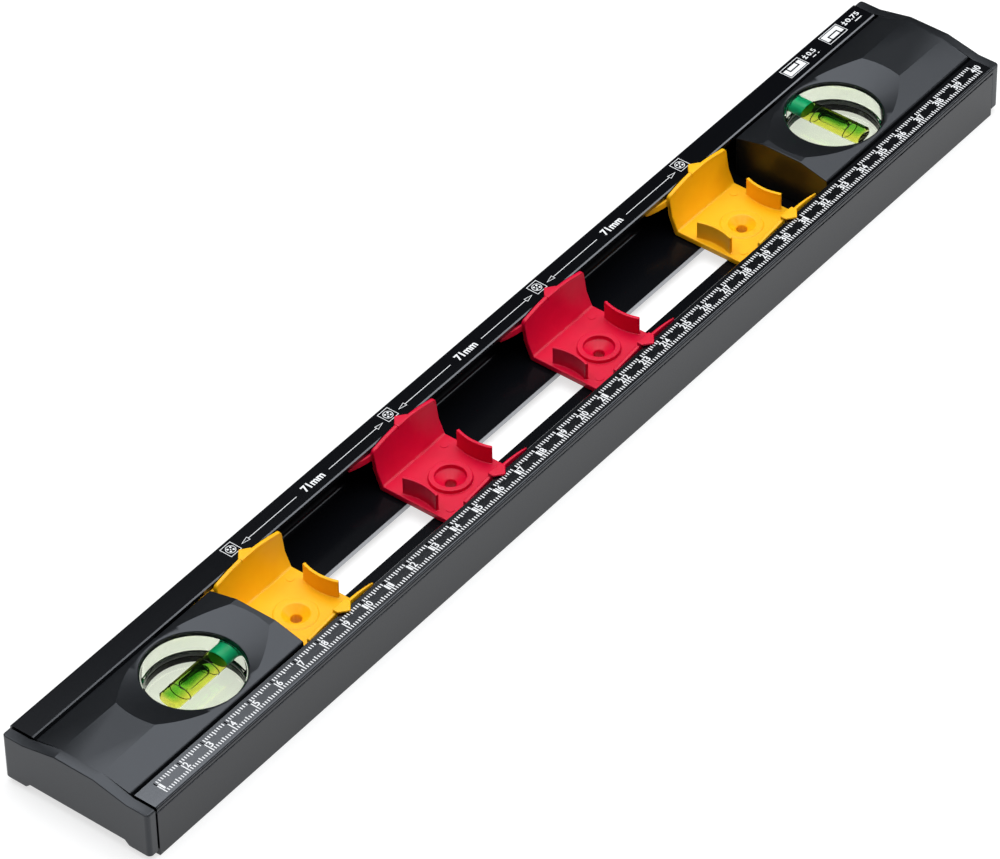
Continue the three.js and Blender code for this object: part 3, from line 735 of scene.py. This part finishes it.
VIALS = (("left", -WINDOW_X, 0, "bubble_along"), ("right", WINDOW_X, 90, "bubble_across"))
on_side = Matrix.Rotation(math.radians(90), 4, "Y")
for side, x, turn, slides in VIALS:
    upright = Matrix.Translation((x * MM, 0, 0))
    heading = Matrix.Rotation(math.radians(turn), 4, "Z")
    axis = upright @ heading @ Matrix.Translation((0, 0, TUBE_AXIS * MM))
    lying = axis @ on_side
    raised = axis @ Matrix.Translation((0, 0, BUBBLE_RISE * MM)) @ on_side
    flat = PUCK_RADIUS - PUCK_EDGE
    puck_half = [(0, PUCK_LOW), (flat, PUCK_LOW), (PUCK_RADIUS, PUCK_LOW + PUCK_EDGE),
                 (PUCK_RADIUS, PUCK_TOP - PUCK_EDGE), (flat, PUCK_TOP), (0, PUCK_TOP)]
    tube_half = [(0, TUBE_END), (TUBE_RADIUS - TUBE_ROUND, TUBE_END),
                 (TUBE_RADIUS, TUBE_END + TUBE_ROUND), (TUBE_RADIUS, PLUG_START - 0.05),
                 (0, PLUG_START - 0.05)]
    plug_radius = TUBE_RADIUS - PLUG_SLACK
    plug_half = [(0, PLUG_START), (plug_radius - PLUG_EDGE, PLUG_START),
                 (plug_radius, PLUG_START + PLUG_EDGE), (plug_radius, PLUG_END), (0, PLUG_END)]
    air_half = capsule(BUBBLE_RADIUS, BUBBLE_HALF)
    pieces = [("puck_" + side, puck_half, 128, upright, ACRYLIC, "level",
               "vial_body_" + side, "clear_acrylic"),
              ("spirit_" + side, tube_half, 64, lying, SPIRIT, "level",
               "vial_liquid_" + side, "vial_liquid"),
              ("plug_" + side, plug_half, 48, lying, GREEN_PLUG, "level",
               "vial_plug_" + side, "green_plastic"),
              ("air_" + side, air_half, 40, raised, AIR, slides,
               "bubble_" + side, "vial_air")]
    for index, at in (("1", -RING_PLACE), ("2", RING_PLACE)):
        band = rectangle(TUBE_RADIUS + 0.01, at - RING_WIDTH / 2,
                         TUBE_RADIUS + 0.12, at + RING_WIDTH / 2)
        pieces.append(("ring_" + side + "_" + index, band, 64, lying, BLACK_RING, "level",
                       "index_ring_" + side + "_" + index, "black_print"))
    for name, points, steps, place, finish, body, node, slot in pieces:
        piece = turned(name, points, steps, place)
        piece.data.materials.append(finish)
        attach(piece, body)
        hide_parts(node)

# Sliding markers. Glass-filled nylon mouldings in yellow and red: a base with a sloped back wall, two
# hollowed finger fins, pointers over both flanges and spring arms that bear on the rails. The wall's
# rounded top, the marks on the deck and the sleeve of the marking hole are pieces of their own.
RIM_INSIDE = 16.6
RIM_OUTSIDE = 17.95
RIM_LOW = 15.5
RIM_END = 18.5
RIM_ARCH = 1.2
RIM_BOW = 0.4
RIM_ROUND = 0.5
RIM_CORNER = 1.6
CREASE_Y = 13.5
MARKER_DECK = 6.2
DECK_HALF = 14.52
POINTER_TOP = 19.7
FILLET = 0.45
FILLET_SHAPE = ((-1, 0), (-0.45, 0.07), (-0.05, 0.33), (0.4, 0.92), (0.7, 0.7))
GATE_HALF = 0.6
PIN_RADIUS = 1.4
PIN_HEIGHT = 0.15
PIN_PLACES = ((-10.1, -8), (10.4, 10.7))
ROOTED = 0.2
SLEEVE_RADIUS = 1.69
SLEEVE_WALL = 0.9
SLEEVE_LOW = 0.4
SLEEVE_HIGH = 3.2


def moulded_nylon(name, colour, shade_colour):
    """Nylon in a strong colour, silky, with a little light under its skin."""
    made, tree = new_material(name)
    place = add(tree, "ShaderNodeTexCoord").outputs["Object"]
    flow = noise(tree, place, 250)
    # Fine skin of the moulding, about 0.25 mm.
    skin = noise(tree, place, 4000)
    surface(tree, "ShaderNodeBsdfPrincipled",
            {"IOR": 1.5, "Specular IOR Level": 0.3, "Subsurface Weight": 0.12,
             "Subsurface Radius": (1, 0.4, 0.15), "Subsurface Scale": MM},
            {"Base Color": mixed(tree, flow, shade_colour, colour),
             "Roughness": ranged(tree, skin, 0.32, 0.48), "Normal": bumped(tree, skin, 0.2, 0.01)})
    return made


def wall_rim(x):
    """Rounded top of the back wall. It arches up and a little to the rear, in front of the pointer."""
    bm = bmesh.new()
    run = DECK_HALF - RIM_CORNER
    stations = arc(-run, -RIM_CORNER, RIM_CORNER, 180, 90, 6)
    stations += [(run * i / 10, 0) for i in range(-9, 10)]
    stations += arc(run, -RIM_CORNER, RIM_CORNER, 90, 0, 6)
    loops = []
    for dx, dz in stations:
        arch = max(0, 1 - (dx / run) ** 2)
        top = RIM_END + RIM_ARCH * arch + dz
        section = [(RIM_INSIDE, RIM_LOW)]
        section += arc(RIM_INSIDE + RIM_ROUND, top - RIM_ROUND, RIM_ROUND, 180, 90, 4)
        section += arc(RIM_OUTSIDE - RIM_ROUND, top - RIM_ROUND, RIM_ROUND, 90, 0, 4)
        section += [(RIM_OUTSIDE, RIM_LOW)]
        lean = RIM_BOW * arch / (RIM_END + RIM_ARCH - RIM_LOW)
        leaning = [(y + lean * (z - RIM_LOW), z) for y, z in section]
        loops.append([bm.verts.new(((x + dx) * MM, y * MM, z * MM)) for y, z in leaning])
    bm.faces.new(loops[0])
    bm.faces.new(loops[-1])
    for low, high in zip(loops, loops[1:]):
        for i in range(len(low)):
            bm.faces.new((low[i - 1], low[i], high[i], high[i - 1]))
    bmesh.ops.recalc_face_normals(bm, faces=bm.faces)
    return bm


def deck_marks(x):
    """Fillet in the crease, broken in the middle by its gate mark, and two ejector pin marks."""
    low, high = MARKER_DECK - ROOTED, MARKER_DECK + PIN_HEIGHT
    fillet = [(CREASE_Y + 0.1, low)]
    fillet += [(CREASE_Y + FILLET * back, MARKER_DECK + FILLET * up) for back, up in FILLET_SHAPE]
    bm = bmesh.new()
    for start, end in ((-DECK_HALF + 0.3, -GATE_HALF), (GATE_HALF, DECK_HALF - 0.3)):
        pour(prism(fillet, x + start, x + end, "yzx"), bm)
    for dx, dy in PIN_PLACES:
        pour(prism(disc(x + dx, dy, PIN_RADIUS), low, high, "xyz"), bm)
    return bm


YELLOW = moulded_nylon("nylon_yellow", "F9BA0B", "F4B007")
RED = moulded_nylon("nylon_red", "D80036", "CA002E")
MARKERS = (("1", "yellow_left", YELLOW, "yellow_plastic"), ("2", "red_left", RED, "red_plastic"),
           ("3", "red_right", RED, "red_plastic"), ("4", "yellow_right", YELLOW, "yellow_plastic"))
for number, name, finish, slot in MARKERS:
    marker = moulding("moulded_marker_" + name, "marker_" + name)
    marker.data.materials.append(finish)
    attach(marker, "marker_" + number)
    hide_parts("marker_" + name)
    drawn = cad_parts["marker_" + name].data.vertices
    tips = [vert.co.x / MM for vert in drawn if vert.co.z / MM > POINTER_TOP]
    centre = (min(tips) + max(tips)) / 2
    rim = as_object("marker_rim_" + name, wall_rim(centre))
    deck = as_object("marker_deck_" + name, deck_marks(centre))
    # A sleeve lengthens the marking hole downwards, so that no floor shows through it.
    ring = rectangle(SLEEVE_RADIUS, SLEEVE_LOW, SLEEVE_RADIUS + SLEEVE_WALL, SLEEVE_HIGH)
    sleeve = turned("marker_sleeve_" + name, ring, 48, Matrix.Translation((centre * MM, 0, 0)))
    for detail in (rim, deck, sleeve):
        shade(detail)
        level_faces(detail)
        detail.data.materials.append(finish)
        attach(detail, "marker_" + number)

# Floor, light and camera. A pale table top under one large overhead softbox, a little beyond the level,
# and a narrow strip low on the right, which draws the light lines along the bevels and thin edges.
BOX_HEIGHT = 1.6
BOX_NEAR = -0.85
BOX_FAR = 1.44
BOX_ACROSS = 2.2
STRIP_AZIMUTH = -49.5
STRIP_ELEVATION = 27
STRIP_AWAY = 2.2
STRIP_LONG = 1.2
STRIP_WIDE = 0.4


def table_top():
    """Matt white laminate. Seen directly, in gloss or through glass it is white, less the shadow."""
    made, tree = new_material("laminate_white")
    path = add(tree, "ShaderNodeLightPath").outputs
    seen = add(tree, "ShaderNodeMath", {"operation": "ADD"},
               {0: path["Is Camera Ray"], 1: path["Is Glossy Ray"]})
    shown = add(tree, "ShaderNodeMath", {"operation": "ADD", "use_clamp": True},
                {0: seen.outputs[0], 1: path["Is Transmission Ray"]})
    glow = add(tree, "ShaderNodeMath", {"operation": "MULTIPLY", 1: 0.7}, {0: shown.outputs[0]})
    white = add(tree, "ShaderNodeEmission", {"Color": (1, 1, 1, 1)}, {"Strength": glow.outputs[0]})
    matt = add(tree, "ShaderNodeBsdfDiffuse", {"Color": (0.38, 0.38, 0.38, 1)})
    surface(tree, "ShaderNodeAddShader", {}, {0: matt.outputs[0], 1: white.outputs[0]})
    return made


floor = as_object("floor", prism(rectangle(-4000, -4000, 4000, 4000), -20, -0.05, "xyz"))
floor.data.materials.append(table_top())


def softbox(name, long, wide, energy):
    """Rectangular lamp that shines along its own -Z."""
    lamp = bpy.data.lights.new(name, "AREA")
    lamp.shape = "RECTANGLE"
    lamp.size = long
    lamp.size_y = wide
    lamp.energy = energy
    made = bpy.data.objects.new(name, lamp)
    bpy.context.scene.collection.objects.link(made)
    return made


overhead = softbox("overhead_softbox", BOX_FAR - BOX_NEAR, BOX_ACROSS, 50)
overhead.data.color = (0.97, 0.985, 1)
view_way = Vector((0.780, 0.626, 0))
overhead.location = view_way * (BOX_NEAR + BOX_FAR) / 2 + Vector((0, 0, BOX_HEIGHT))
overhead.rotation_euler = (0, 0, math.atan2(view_way.y, view_way.x))

strip = softbox("strip_softbox", STRIP_LONG, STRIP_WIDE, 13)
turn, rise = math.radians(STRIP_AZIMUTH), math.radians(STRIP_ELEVATION)
strip_way = Vector((math.cos(turn) * math.cos(rise), math.sin(turn) * math.cos(rise), math.sin(rise)))
strip.location = strip_way * STRIP_AWAY
strip.rotation_euler = strip_way.to_track_quat("Z", "Y").to_euler()

world = bpy.data.worlds.new("studio")
world.use_nodes = True
world.node_tree.nodes.clear()
way = add(world.node_tree, "ShaderNodeLightPath").outputs["Is Camera Ray"]
sky = add(world.node_tree, "ShaderNodeBackground", {"Color": (1, 1, 1, 1)},
          {"Strength": ranged(world.node_tree, way, 0.03, 1)})
add(world.node_tree, "ShaderNodeOutputWorld", {}, {"Surface": sky.outputs[0]})
bpy.context.scene.world = world

lens = bpy.data.cameras.new("camera")
lens.sensor_width = 36
lens.lens = 222.244
lens.shift_x = -0.01793
lens.shift_y = -0.00054
lens.clip_start = 0.05
camera = bpy.data.objects.new("camera", lens)
camera.location = (-1.054956, -0.841774, 1.228920)
camera.rotation_euler = [math.radians(a) for a in (47.63986, 0.86837, -52.05013)]
bpy.context.scene.collection.objects.link(camera)
bpy.context.scene.camera = camera
bpy.context.scene.view_settings.view_transform = "Standard"
